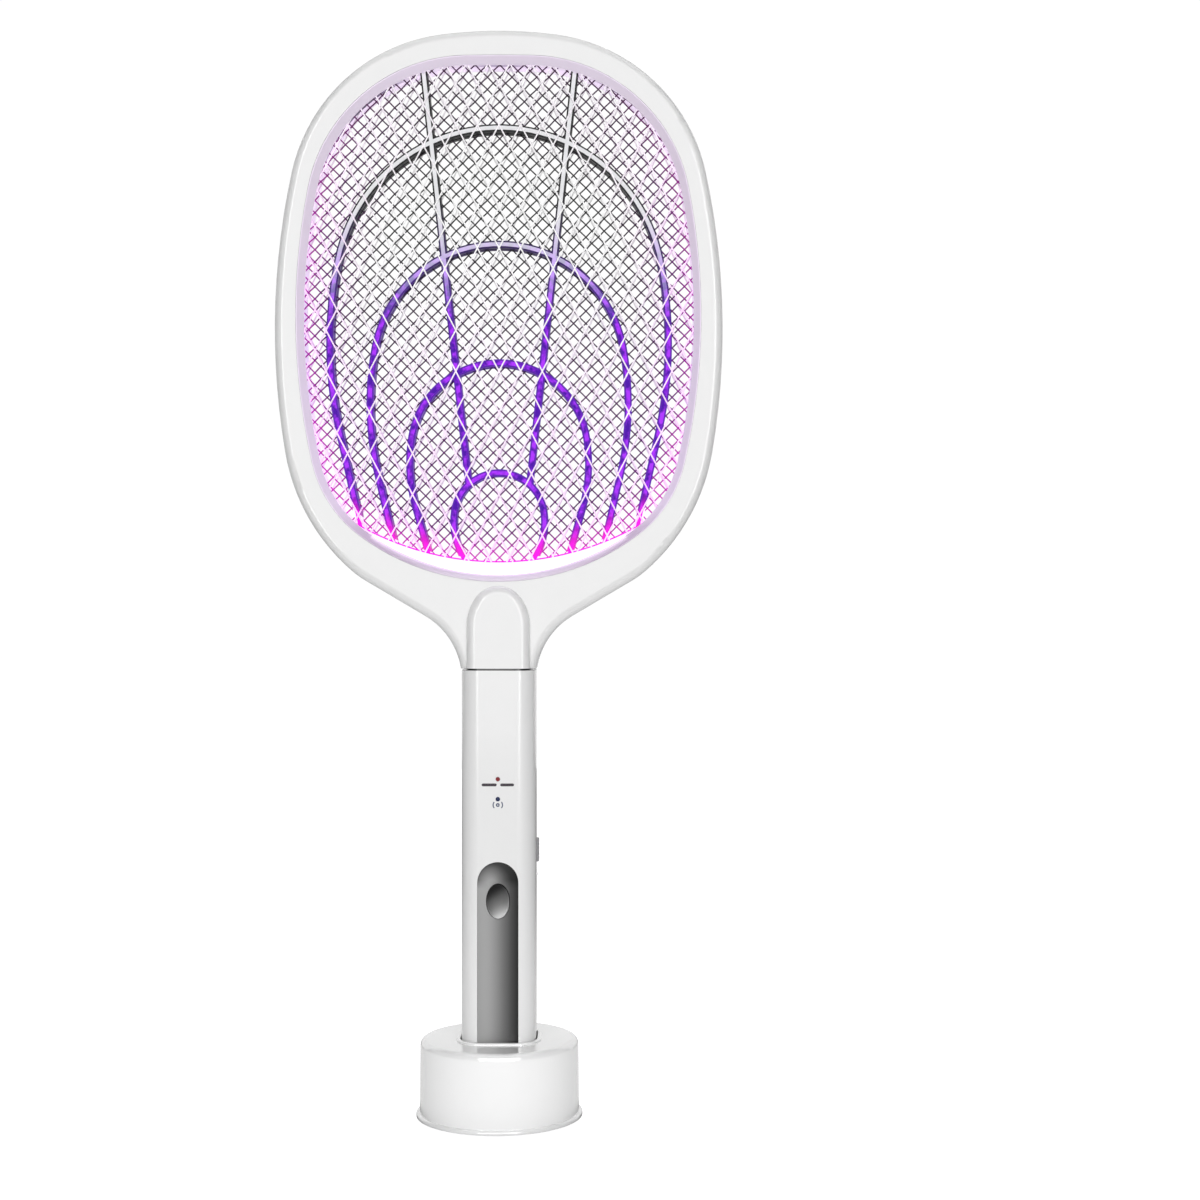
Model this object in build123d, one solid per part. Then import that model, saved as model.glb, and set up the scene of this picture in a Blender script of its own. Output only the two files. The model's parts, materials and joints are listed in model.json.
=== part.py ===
from build123d import *

import math
import os

# Electric fly swatter standing in its charging dock. Millimetres, +Z up, front towards -Y.
# The origin is on the floor, under the centre of the dock.

# Head: half outline from the top, as tangent arcs of (radius, degrees)
HEAD_TOP = 502.0
HEAD_ARCS = [(204.0, 7.5), (81.4, 70.2), (340.0, 21.9), (93.0, 39.8), (40.0, 10.0)]
HEAD_Y = 11.0
HEAD_EDGE_R = 4.0
FLARE_R = 34.0
SEAM_Z = 208.0

# Mouth: the frame's inner edge, half outline from the top
MOUTH_TOP = 490.1
MOUTH_ARCS = [(644.7, 1.4), (75.0, 77.4), (305.5, 24.0), (57.6, 40.5)]
RIM = 1.6
BEZEL = 3.3
BEZEL_FRONT = 0.5
BEZEL_FRONT_Y = 10.5

# Layers of the mesh stack, as distances from the middle plane
GRID_Y = 0.7
CARRIER_Y = 1.7
SPACER_Y = 4.2
CAP_Y = 4.6
GUARD_Y = 5.4
CLAMP_Y = 6.4

# Lower edge of the mesh stack, and the light bar below it
STACK_FOOT_Z = 256.0
STACK_FOOT_R = 133.9
STACK_FOOT_RIM = 1.2
STACK_GAP = 0.1
STACK_RIM = 1.5
BAR_Y = 8.0
BAR_FOOT_X = 30.0
BAR_FOOT_Y = 4.0
BAR_FOOT_Z = 247.2

# Ribs: four arches of (top, top radius, degrees, side radius, degrees), and two spokes
ARCHES = [
    (458.1, 76.1, 78.6, 193.6, 24.0),
    (404.2, 58.4, 79.9, 147.7, 23.3),
    (349.3, 41.0, 81.3, 77.3, 24.5),
    (298.4, 20.9, 80.9, 32.0, 33.3),
]
ARCH_OVERRUN = 1.0
SPOKE_TOP = (35.5, 488.5)
SPOKE_FOOT = (14.1, 293.0)
RIB = 3.3
RIB_CAP = 1.8

# Lattices
GUARD_PITCH = (10.0, 19.0)
GUARD_WIRE = 1.0
GRID_PITCH = 4.05
GRID_WIRE = 0.7

# Neck boss: half outline from the top
BOSS_TOP = 246.0
BOSS_ARCS = [(12.7, 55.0), (22.8, 35.0)]
BOSS_EDGE_R = 4.2

# Handle
HANDLE_W = 34.2
HANDLE_D = 31.0
HANDLE_R = 9.0
WALL = 2.0
SEAM_GAP = 0.7
HANDLE_FOOT = 10.2
CAP_T = 4.0
SPIGOT_FOOT = 190.0
SPIGOT_TOP = 213.0
SPIGOT_WALL = 1.8
SPIGOT_FIT = 0.06
PARTING_Y = 0.15
PARTING_DEPTH = 0.35

# Screws: four headings round each side of the head, one at each side of the neck, three in the handle
HEAD_SCREW_HEADINGS = [14.0, 48.0, 84.0, 113.0]
HEAD_SCREW_INSET = 4.5
NECK_SCREW = (21.0, 234.0)
HANDLE_SCREW_Z = [90.0, 175.0, 199.0]
HEAD_BOSS_R = 2.3
HANDLE_BOSS_R = 2.2
SPIGOT_BOSS_R = 2.6
HEAD_SCREW_SINK = 1.2
HANDLE_SCREW_SINK = 1.4

# Inlay and zap button
INLAY_TOP = 119.7
INLAY_FOOT = 29.0
INLAY_R = 9.4
INLAY_FLOOR_Y = -12.6
INLAY_EDGE_Y = -14.9
INLAY_DIP_Y = -13.5
PAD_Y = -10.6
BUTTON_Z = 101.5
BUTTON_SEMI = (5.15, 7.8)
BUTTON_FACE_Y = -14.2
BUTTON_BOWL = (4.8, 7.4, 1.7)
BUTTON_GAP = 0.35
BUTTON_FLANGE = 1.0

# Mode slider on the right side
SLIDER_TOP = 128.9
SLIDER_LEN = 10.7
SLIDER_TRAVEL = 4.0
SLIDER_PROUD = 1.3
SLIDER_Y = 2.5
SLOT_GAP = 0.3

# Indicators
RED_Z = 157.6
BLUE_Z = 148.5
PIPE_R = 1.0

# Circuit board and cell
BOARD_X = 11.5
BOARD_Z = (96.0, 168.0)
BOARD_Y = (-3.2, -1.6)
CELL_R = 9.1
CELL_Z = (22.0, 87.0)

# Lamps under the light bar
LED_BOARD_Z = (243.2, 244.8)
LED_X = [-25.0, -15.0, -5.0, 5.0, 15.0, 25.0]

# Dock
DOCK_TOP = 36.4
DOCK_TOP_R = 36.6
DOCK_FOOT_R = 37.0
DOCK_EDGE_R = 3.0
DOCK_WALL = 2.2
FLANGE_R = 38.5
FLANGE_Z = (0.8, 2.8)
SOCKET_GAP = 0.7
SOCKET_WALL = 1.8
SOCKET_FLOOR = 10.0
LIP_W = 1.8
LIP_H = 0.9
COVER_T = 2.0
FOOT_R = 5.0
DOCK_BOARD_Z = (4.2, 5.8)
CONTACT_X = 7.0
CONTACT_Z = 11.0
PIN_TRAVEL = 1.2
INLET_Y = 36.4
INLET_SIZE = (8.94, 7.3, 3.26)
COVER_SCREWS = [(0.0, -29.0), (25.2, 14.5), (-25.2, 14.5)]
COVER_FEET = [(23.0, -18.0), (-23.0, -18.0), (10.0, 27.5), (-10.0, 27.5)]
PIN_R = 0.9
BARREL_R = 1.9
BARREL_BORE_R = 1.25

BIG = 400.0


# ---------------------------------------------------------------- shared shapes


def facing(heading):
    """Unit vector whose angle from straight up is heading, in degrees."""
    angle = math.radians(heading)
    return math.sin(angle), math.cos(angle)


class Outline:
    """Symmetric outline drawn down from its top; a positive inset draws the parallel one inside."""

    def __init__(self, top, inset=0.0):
        self.inset = inset
        self.x = 0.0
        self.z = top - inset
        self.heading = 0.0
        self.right = []
        self.left = []

    def arc(self, radius, turn):
        reach = radius - self.inset
        nx, nz = facing(self.heading)
        centre = (self.x - reach * nx, self.z - reach * nz)
        points = []
        for share in (0.0, 0.5, 1.0):
            nx, nz = facing(self.heading + turn * share)
            points.append((centre[0] + reach * nx, centre[1] + reach * nz))
        self.right.append(ThreePointArc(*points))
        self.left.append(ThreePointArc(*[(-x, z) for x, z in points]))
        self.x, self.z = points[-1]
        self.heading += turn

    def line(self, length):
        nx, nz = facing(self.heading)
        end = (self.x + nz * length, self.z - nx * length)
        self.right.append(Line((self.x, self.z), end))
        self.left.append(Line((-self.x, self.z), (-end[0], end[1])))
        self.x, self.z = end

    def line_down_to(self, z):
        self.line((self.z - z) / facing(self.heading)[0])

    def half_width(self):
        """Half width here of the outline with no inset."""
        return self.x + self.inset * facing(self.heading)[0]

    def close_round(self):
        self.arc(self.half_width() / facing(self.heading)[0], 180.0 - self.heading)
        return make_face(self.right + self.left)

    def close_flat(self):
        foot = Line((self.x, self.z), (-self.x, self.z))
        return make_face(self.right + self.left + [foot])


def slab(sketch, low_y, high_y):
    """A plate with the sketch's outline, seen from the front, between two depths."""
    return extrude(Plane.XZ.offset(-high_y) * sketch, high_y - low_y)


def column(sketch, low_z, high_z):
    return extrude(Pos(0, 0, low_z) * sketch, high_z - low_z)


def block(x, y, z):
    """A box between pairs of limits."""
    centre = [(low + high) / 2 for low, high in (x, y, z)]
    return Pos(*centre) * Box(x[1] - x[0], y[1] - y[0], z[1] - z[0])


def rod(x, z, radius, low_y, high_y):
    """A round bar along Y."""
    return slab(Pos(x, z) * Circle(radius), low_y, high_y)


def post(x, y, radius, low_z, high_z):
    """A round bar along Z."""
    return column(Pos(x, y) * Circle(radius), low_z, high_z)


def front_half(solid):
    return solid & block((-BIG, BIG), (-BIG, 0), (-BIG, 2 * BIG))


def rear_half(solid):
    return solid & block((-BIG, BIG), (0, BIG), (-BIG, 2 * BIG))


def to_rear(solid):
    return mirror(solid, about=Plane.XZ)


def screw(x, z, shank_r, head_r, tip_y, seat_y, head_t):
    """A screw driven forward from the back, with a cross recess in its head."""
    body = rod(x, z, shank_r, tip_y, seat_y) + rod(x, z, head_r, seat_y, seat_y + head_t)
    reach = head_r * 0.6
    depth = head_t * 0.6
    arm = head_r * 0.14
    top = seat_y + head_t
    body -= block((x - reach, x + reach), (top - depth, top), (z - arm, z + arm))
    body -= block((x - arm, x + arm), (top - depth, top), (z - reach, z + reach))
    return body


# ---------------------------------------------------------------- head frame


def head_path(inset, start_heading=0.0):
    """The head's outline down to the neck; it is kept from start_heading on."""
    path = Outline(HEAD_TOP, inset)
    for radius, turn in HEAD_ARCS:
        before = start_heading - path.heading
        if 0 < before < turn:
            path.arc(radius, before)
            turn -= before
        if path.heading <= start_heading:
            path.right = []
            path.left = []
        path.arc(radius, turn)
    side, down = facing(path.heading)
    flare_start = HANDLE_W / 2 + FLARE_R * (1 - side)
    path.line((path.half_width() - flare_start) / -down)
    path.arc(-FLARE_R, 90.0 - path.heading)
    return path


def head_outline(inset=0.0):
    return head_path(inset).close_flat()


def head_point(heading, inset):
    """Where the head's outline, moved inward by inset, faces the given heading."""
    path = Outline(HEAD_TOP, inset)
    for radius, turn in HEAD_ARCS:
        path.arc(radius, min(turn, heading - path.heading))
        if path.heading >= heading:
            return path.x, path.z


def mouth_outline(inset=0.0):
    path = Outline(MOUTH_TOP, inset)
    for radius, turn in MOUTH_ARCS:
        path.arc(radius, turn)
    return path.close_round()


def boss_outline(inset=0.0):
    path = Outline(BOSS_TOP, inset)
    for radius, turn in BOSS_ARCS:
        path.arc(radius, turn)
    path.line(path.z - SEAM_Z)
    return path.close_flat()


def handle_section(inset=0.0):
    return RectangleRounded(HANDLE_W - 2 * inset, HANDLE_D - 2 * inset, HANDLE_R - inset)


def spigot_half():
    """Front half of the hollow tongue that goes down into the handle."""
    inset = WALL + SPIGOT_FIT
    tube = column(handle_section(inset), SPIGOT_FOOT, SPIGOT_TOP)
    tube -= column(handle_section(inset + SPIGOT_WALL), SPIGOT_FOOT, SPIGOT_TOP)
    return front_half(tube)


def head_screw_points():
    points = [head_point(heading, HEAD_SCREW_INSET) for heading in HEAD_SCREW_HEADINGS]
    points.append(NECK_SCREW)
    return points + [(-x, z) for x, z in points]


def upper_edges(face, low_z):
    """A face's edges that lie above a height."""
    return face.edges().filter_by(lambda edge: edge.center().Z > low_z)


def frame_shell():
    """Front half of the head: face, outer wall, clamping lip, neck boss and spigot."""
    face_y = HEAD_Y - WALL
    shell = slab(head_outline(), -HEAD_Y, 0)
    shell = fillet(upper_edges(shell.faces().sort_by(Axis.Y)[0], SEAM_Z - 3), HEAD_EDGE_R)
    boss_y = HANDLE_D / 2
    boss = slab(boss_outline(), -boss_y, -face_y)
    boss = fillet(upper_edges(boss.faces().sort_by(Axis.Y)[0], SEAM_Z + 0.1), BOSS_EDGE_R)
    shell += boss
    shell -= slab(head_outline() - head_outline(PARTING_DEPTH), -PARTING_Y, 0)
    shell -= block((-BIG, BIG), (-BIG, BIG), (-BIG, SEAM_Z))
    shell -= slab(mouth_outline(), -HEAD_Y, 0)
    cavity = slab(head_outline(WALL), -face_y, 0)
    cavity -= slab(mouth_outline(-RIM), -face_y, -CLAMP_Y)
    cavity += slab(boss_outline(WALL), WALL - boss_y, -face_y)
    shell -= cavity
    return shell + spigot_half()


def front_frame():
    shell = frame_shell()
    for x, z in head_screw_points():
        shell += rod(x, z, HEAD_BOSS_R, WALL - HEAD_Y, 0)
        shell -= rod(x, z, 0.95, -7.5, 0)
    spigot_screw_z = HANDLE_SCREW_Z[-1]
    shell += rod(0, spigot_screw_z, SPIGOT_BOSS_R, -12.5, 0)
    shell -= rod(0, spigot_screw_z, 1.15, -8.0, 0)
    return shell


def rear_frame():
    shell = to_rear(frame_shell())
    for x, z in head_screw_points():
        shell += rod(x, z, HEAD_BOSS_R, 0, HEAD_Y - WALL)
        shell -= rod(x, z, 1.0, 0, HEAD_Y)
        shell -= rod(x, z, 1.95, HEAD_Y - HEAD_SCREW_SINK, HEAD_Y)
    spigot_screw_z = HANDLE_SCREW_Z[-1]
    shell += rod(0, spigot_screw_z, SPIGOT_BOSS_R, 0, 12.5)
    shell -= rod(0, spigot_screw_z, 1.2, 0, HANDLE_D / 2)
    return shell


def head_screws():
    seat = HEAD_Y - HEAD_SCREW_SINK
    return [screw(x, z, 0.9, 1.8, -6.5, seat, 1.0) for x, z in head_screw_points()]


# ---------------------------------------------------------------- mesh stack


def stack_disc(inset=0.0):
    """Round foot of the stack, which the light bar follows."""
    return Pos(0, STACK_FOOT_Z + STACK_FOOT_R) * Circle(STACK_FOOT_R - inset)


def stack_outline(inset=0.0):
    """Outer edge of the stack: under the clamping lips, cut off above the light bar."""
    return mouth_outline(inset - RIM + STACK_GAP) & stack_disc(inset)


def window(inset):
    """Open area inside the bezel and the stack's foot rim."""
    return mouth_outline(BEZEL + inset) & stack_disc(STACK_FOOT_RIM)


def bezel_ring():
    """Ring whose inner face slopes from the frame's edge down to the guard mesh."""
    ring = slab(mouth_outline(STACK_GAP), -BEZEL_FRONT_Y, -CLAMP_Y)
    ring += slab(mouth_outline(STACK_GAP - RIM), -CLAMP_Y, -GUARD_Y)
    wide = Plane.XZ.offset(BEZEL_FRONT_Y) * mouth_outline(BEZEL_FRONT)
    narrow = Plane.XZ.offset(CLAMP_Y) * mouth_outline(BEZEL)
    ring -= loft([wide, narrow], ruled=True)
    return ring - slab(mouth_outline(BEZEL), -CLAMP_Y, -GUARD_Y)


def lattice_cells(open_area):
    """The open diamonds of the guard mesh, clipped to the open area."""
    half_x = GUARD_PITCH[0] / 2
    half_z = GUARD_PITCH[1] / 2
    edge_distance = half_x * half_z / math.hypot(half_x, half_z)
    open_share = 1 - GUARD_WIRE / 2 / edge_distance
    box = open_area.bounding_box()
    middle_z = (box.min.Y + box.max.Y) / 2
    columns = math.ceil(box.size.X / 2 / half_x)
    rows = math.ceil(box.size.Y / 2 / half_z)
    cells = []
    for column_no in range(-columns, columns + 1):
        for row in range(-rows, rows + 1):
            if (column_no + row) % 2 == 0:
                x = column_no * half_x
                z = middle_z + row * half_z
                reach_x = half_x * open_share
                reach_z = half_z * open_share
                upper = [(x + reach_x, z), (x, z + reach_z), (x - reach_x, z)]
                corners = upper + [(x, z - reach_z)]
                cells.append(make_face(Polyline(*corners, close=True)))
    clipped = Sketch(cells) & open_area
    return Sketch([face for face in clipped.faces() if face.area > 1.5])


def guard_mesh():
    return slab(stack_outline() - lattice_cells(window(0.4)), -GUARD_Y, -CAP_Y)


def rib_arch(top, top_r, top_turn, side_r, side_turn, inset):
    path = Outline(top, inset)
    path.arc(top_r, top_turn)
    path.arc(side_r, side_turn)
    path.line_down_to(STACK_FOOT_Z - ARCH_OVERRUN)
    return path.close_flat()


def spoke(side, width):
    (top_x, top_z), (foot_x, foot_z) = SPOKE_TOP, SPOKE_FOOT
    length = math.hypot(top_x - foot_x, top_z - foot_z)
    lean = math.degrees(math.atan2(top_x - foot_x, top_z - foot_z))
    place = Pos(side * (top_x + foot_x) / 2, (top_z + foot_z) / 2) * Rot(0, 0, -side * lean)
    return place * Rectangle(width, length)


def rib_frame(width):
    """Rim, four arches and two spokes of one layer of ribs, seen from the front."""
    ribs = [spoke(-1, width), spoke(1, width)]
    for arch in ARCHES:
        ribs.append(rib_arch(*arch, -width / 2) - rib_arch(*arch, width / 2))
    frame = stack_outline() - (mouth_outline(STACK_RIM) & stack_disc(STACK_RIM))
    for rib in ribs:
        frame += rib & stack_outline()
    return frame


def rib_caps():
    return slab(rib_frame(RIB_CAP), -CAP_Y, -SPACER_Y)


def spacer():
    return slab(rib_frame(RIB), -SPACER_Y, -CARRIER_Y)


def grid_carrier():
    return slab(rib_frame(RIB), -CARRIER_Y, -GRID_Y)


def grid_layer(lean, low_y, high_y):
    """Parallel wires of one layer of the high-voltage grid."""
    area = stack_outline(1.0)
    centre = area.bounding_box().center()
    reach = area.bounding_box().diagonal / 2
    count = math.floor(reach / GRID_PITCH)
    wires = []
    for number in range(-count, count + 1):
        place = Pos(centre.X, centre.Y) * Rot(0, 0, lean) * Pos(number * GRID_PITCH, 0)
        wires.append(place * Rectangle(GRID_WIRE, 2 * reach))
    clipped = Sketch(wires) & area
    return [slab(face, low_y, high_y) for face in clipped.faces() if face.area > 3]


def grid_wires():
    return grid_layer(45.0, -GRID_Y, 0) + grid_layer(-45.0, 0, GRID_Y)


# ---------------------------------------------------------------- light


def light_bar():
    """Frosted crescent under the mesh, with a foot that reaches down to the lamps."""
    crescent = slab(mouth_outline(BEZEL + STACK_GAP) - stack_disc(-STACK_GAP), -BAR_Y, BAR_Y)
    foot_box = Pos(0, BAR_FOOT_Z + 7) * Rectangle(2 * BAR_FOOT_X, 14)
    foot = slab(foot_box - stack_disc(-STACK_GAP), -BAR_FOOT_Y, BAR_FOOT_Y)
    return crescent.solids().sort_by(Axis.Z)[0] + foot


def led_board():
    return block((-29, 29), (-4.5, 4.5), LED_BOARD_Z)


def uv_leds():
    leds = []
    for x in LED_X:
        base = block((x - 1.75, x + 1.75), (-1.4, 1.4), (LED_BOARD_Z[1], LED_BOARD_Z[1] + 1.1))
        dome = post(x, 0, 1.1, LED_BOARD_Z[1] + 1.1, LED_BOARD_Z[1] + 2.0)
        leds.append(base + dome)
    return leds


# ---------------------------------------------------------------- handle


def inlay_outline(inset=0.0, foot=INLAY_FOOT):
    path = Outline(INLAY_TOP, inset)
    path.arc(INLAY_R, 90.0)
    path.line(path.z - foot)
    return path.close_flat()


def button_outline(grow=0.0):
    return Pos(0, BUTTON_Z) * Ellipse(BUTTON_SEMI[0] + grow, BUTTON_SEMI[1] + grow)


def slider_slot():
    low = SLIDER_TOP - SLIDER_LEN - SLIDER_TRAVEL - SLOT_GAP
    width = SLIDER_Y + SLOT_GAP
    side = (HANDLE_W / 2 - 4, HANDLE_W / 2 + 1)
    return block(side, (-width, width), (low, SLIDER_TOP + SLOT_GAP))


def handle_tube():
    low = HANDLE_FOOT + CAP_T
    high = SEAM_Z - SEAM_GAP
    tube = column(handle_section(), low, high) - column(handle_section(WALL), low, high)
    for side in (-1, 1):
        middle = side * HANDLE_W / 2
        groove_x = (middle - PARTING_DEPTH, middle + PARTING_DEPTH)
        tube -= block(groove_x, (-PARTING_Y, PARTING_Y), (low, high))
    return tube - slider_slot()


def front_handle_shell():
    face_y = HANDLE_D / 2
    shell = front_half(handle_tube())
    shell += slab(inlay_outline(-1.8, INLAY_FOOT - 1.8), WALL - face_y - 0.3, PAD_Y)
    shell -= slab(inlay_outline(), -face_y - 1, INLAY_FLOOR_Y)
    shell -= slab(button_outline(BUTTON_GAP), -face_y, PAD_Y + 1)
    for z in (RED_Z, BLUE_Z):
        shell -= rod(0, z, PIPE_R + 0.05, -face_y - 1, WALL - face_y + 1)
    for z in HANDLE_SCREW_Z[:2]:
        start_y = PAD_Y - 0.3 if z < INLAY_TOP else WALL - face_y - 0.3
        shell += rod(0, z, HANDLE_BOSS_R, start_y, 0)
        shell -= rod(0, z, 1.15, -8.0, 0)
    pip_z = SLIDER_TOP - SLIDER_LEN - SLIDER_TRAVEL - 1.8
    return shell + Pos(HANDLE_W / 2, -1.4, pip_z) * Rot(0, 90, 0) * Cylinder(0.7, 1.2)


def rear_handle_shell():
    face_y = HANDLE_D / 2
    shell = rear_half(handle_tube())
    for z in HANDLE_SCREW_Z[:2]:
        shell += rod(0, z, HANDLE_BOSS_R, 0, face_y - WALL + 0.3)
    for z in HANDLE_SCREW_Z:
        shell -= rod(0, z, 1.2, 0, face_y)
        shell -= rod(0, z, 2.3, face_y - HANDLE_SCREW_SINK, face_y)
    return shell


def handle_screws():
    seat = HANDLE_D / 2 - HANDLE_SCREW_SINK
    return [screw(0, z, 1.1, 2.15, -7.0, seat, 1.3) for z in HANDLE_SCREW_Z]


def thumb_inlay():
    """Dark strip whose face is a shallow trough."""
    dip = INLAY_DIP_Y - INLAY_EDGE_Y
    trough_r = (INLAY_R ** 2 + dip ** 2) / (2 * dip)
    strip = slab(inlay_outline(0.1), INLAY_EDGE_Y, INLAY_FLOOR_Y)
    strip -= post(0, INLAY_DIP_Y - trough_r, trough_r, INLAY_FOOT - 5, INLAY_TOP + 5)
    return strip - slab(button_outline(BUTTON_GAP), -HANDLE_D / 2, INLAY_FLOOR_Y)


def zap_button():
    """Oval key with a dished face, a retaining flange and a nub for the switch below."""
    flange_y = PAD_Y + 0.4
    key = slab(button_outline(), BUTTON_FACE_Y, flange_y)
    key += slab(button_outline(BUTTON_FLANGE), flange_y, flange_y + 1.1)
    key += rod(0, BUTTON_Z, 1.6, flange_y + 1.1, -7.3)
    semi_x, semi_z, depth = BUTTON_BOWL
    short_r = (semi_x ** 2 + depth ** 2) / (2 * depth)
    long_r = (semi_z ** 2 + depth ** 2) / (2 * depth)
    bowl_y = BUTTON_FACE_Y + depth - long_r
    return key - Pos(0, bowl_y, BUTTON_Z) * Rot(0, 90, 0) * Torus(long_r - short_r, short_r)


def tact_switch():
    body = block((-3, 3), (-6.7, BOARD_Y[0]), (BUTTON_Z - 3, BUTTON_Z + 3))
    return body - rod(0, BUTTON_Z, 2.0, -6.7, -4.4)


def tact_plunger():
    return rod(0, BUTTON_Z, 1.6, -7.3, -5.8)


def mode_slider():
    """Ribbed thumb piece outside the slot and its guide plate inside."""
    face_x = HANDLE_W / 2 + SLIDER_PROUD
    low = SLIDER_TOP - SLIDER_LEN
    knob = block((14.4, face_x), (-SLIDER_Y, SLIDER_Y), (low, SLIDER_TOP))
    knob = fillet(knob.faces().sort_by(Axis.X)[-1].edges(), 0.5)
    middle = (low + SLIDER_TOP) / 2
    for step in (-3, -1.5, 0, 1.5, 3):
        groove_z = (middle + step - 0.3, middle + step + 0.3)
        knob -= block((face_x - 0.4, face_x), (-SLIDER_Y, SLIDER_Y), groove_z)
    return knob + block((13.4, 14.6), (-3.9, 3.9), (low - 3.2, SLIDER_TOP + 2.2))


def slider_middle():
    return SLIDER_TOP - SLIDER_LEN / 2


def mode_switch():
    """Slide switch body on the board, open on its right side for the lever."""
    middle = slider_middle() - SLIDER_TRAVEL / 2
    body = block((5.0, 11.4), (BOARD_Y[1], 3.6), (middle - 6.4, middle + 6.4))
    return body - block((8.0, 11.4), (-1.4, 1.4), (middle - 3.6, middle + 3.6))


def switch_lever():
    middle = slider_middle()
    return block((8.6, 13.4), (-1.0, 1.0), (middle - 1.0, middle + 1.0))


def indicator(z):
    """Light pipe from the board's lamp to the handle's face."""
    inner_y = WALL - HANDLE_D / 2
    pipe = rod(0, z, PIPE_R, -HANDLE_D / 2 - 0.15, BOARD_Y[0] - 1.2)
    return pipe + rod(0, z, 1.8, inner_y, inner_y + 1.0)


def indicator_leds():
    lamp_y = (BOARD_Y[0] - 1.1, BOARD_Y[0])
    return [block((-1.6, 1.6), lamp_y, (z - 1.0, z + 1.0)) for z in (RED_Z, BLUE_Z)]


def main_board():
    return block((-BOARD_X, BOARD_X), BOARD_Y, BOARD_Z)


def transformer():
    rear = BOARD_Y[1]
    core = block((-6.5, 6.5), (rear, rear + 11.0), (141.0, 143.5))
    core += block((-6.5, 6.5), (rear, rear + 11.0), (152.5, 155.0))
    return core + Pos(0, rear + 5.5, 148.0) * Cylinder(5.2, 9.4)


def film_capacitor():
    rear = BOARD_Y[1]
    body = block((-9.0, 9.0), (rear, rear + 7.5), (131.5, 138.5))
    return fillet(body.edges().filter_by(Axis.Y), 1.0)


def rectifiers():
    diodes = []
    for z in (100.5, 104.5, 108.5, 112.5):
        diodes.append(Pos(-3.0, BOARD_Y[1] + 1.3, z) * Rot(0, 90, 0) * Cylinder(1.3, 5.2))
    return diodes


def cell():
    return post(0, 0.5, CELL_R, *CELL_Z)


def cell_contacts():
    low, high = CELL_Z
    return [
        block((-5, 5), (-3.5, 4.5), (low - 0.5, low)),
        block((-5, 5), (-3.5, 4.5), (high, high + 0.5)),
    ]


def wire(path, radius):
    start = Plane(origin=path @ 0, z_dir=path % 0)
    return sweep(start * Circle(radius), path=path)


def high_voltage_lead(side):
    """Lead that follows the inside of the neck from the board to the edge of the grid."""
    path = head_path(6.5, 131.0)
    path.line(path.z - BOARD_Z[1] - 1.0)
    edges = path.right if side > 0 else path.left
    return wire(Plane.XZ * Wire(edges), 0.6)


def charge_lead(side):
    """Lead from a charging contact, past the cell, to the foot of the board."""
    points = [
        (side * CONTACT_X, 1.0, 17.4),
        (side * 11.9, 6.0, 26.0),
        (side * 11.9, 6.0, 78.0),
        (side * 9.0, 2.5, 92.0),
        (side * 9.0, 1.0, 103.0),
    ]
    path = FilletPolyline(*points, radius=[6.0, 10.0, 8.0])
    return wire(path, 0.6)


def end_cap():
    """Plug that closes the handle's foot and holds the charging contacts."""
    low, high = HANDLE_FOOT, HANDLE_FOOT + CAP_T
    cap = column(handle_section(), low, high)
    cap = chamfer(cap.faces().sort_by(Axis.Z)[0].edges(), 0.8)
    cap += column(handle_section(WALL + SPIGOT_FIT), high, high + 3.6)
    cap -= column(handle_section(WALL + 1.8), high - 1.0, high + 3.6)
    for x in (-CONTACT_X, CONTACT_X):
        cap -= post(x, 0, 2.6, low, CONTACT_Z + 1.0)
        cap -= post(x, 0, 1.1, low, high)
    return cap


def charging_contacts():
    contacts = []
    for x in (-CONTACT_X, CONTACT_X):
        pad = post(x, 0, 2.55, CONTACT_Z, CONTACT_Z + 1.0)
        contacts.append(pad + post(x, 0, 1.05, CONTACT_Z + 1.0, HANDLE_FOOT + CAP_T + 1.2))
    return contacts


# ---------------------------------------------------------------- dock


def dock_shell():
    """Cup with a socket for the handle, a bead round the socket and a flange at the foot."""
    low, high = FLANGE_Z
    height = DOCK_TOP - low
    shell = Pos(0, 0, low + height / 2) * Cone(DOCK_FOOT_R, DOCK_TOP_R, height)
    shell = fillet(shell.faces().sort_by(Axis.Z)[-1].edges(), DOCK_EDGE_R)
    flange = post(0, 0, FLANGE_R, low, high)
    flange = fillet(flange.faces().sort_by(Axis.Z)[-1].edges(), 1.2)
    shell += flange
    roof = DOCK_TOP - DOCK_WALL
    cavity = post(0, 0, DOCK_TOP_R - DOCK_WALL, low, roof)
    well = column(handle_section(-SOCKET_GAP - SOCKET_WALL), SOCKET_FLOOR - 2.0, roof)
    shell -= cavity - well
    for x, y in COVER_SCREWS:
        shell += post(x, y, 3.0, low + COVER_T, roof)
        shell -= post(x, y, 1.15, low + COVER_T, low + 12.0)
    bead = column(handle_section(-SOCKET_GAP - LIP_W), roof, DOCK_TOP + LIP_H)
    bead = fillet(bead.faces().sort_by(Axis.Z)[-1].edges(), 0.8)
    shell += bead
    shell -= column(handle_section(-SOCKET_GAP), SOCKET_FLOOR, DOCK_TOP + 2 * LIP_H)
    for x in (-CONTACT_X, CONTACT_X):
        shell -= post(x, 0, BARREL_R + 0.1, SOCKET_FLOOR - 3.0, SOCKET_FLOOR)
    return shell - inlet_opening()


def inlet_profile(grow):
    width, _, height = INLET_SIZE
    return RectangleRounded(width + 2 * grow, height + 2 * grow, height / 2 + grow - 0.05)


def inlet_middle():
    return DOCK_BOARD_Z[1] + INLET_SIZE[2] / 2


def inlet_opening():
    return slab_profile(0.25, 30.0, 45.0)


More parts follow.
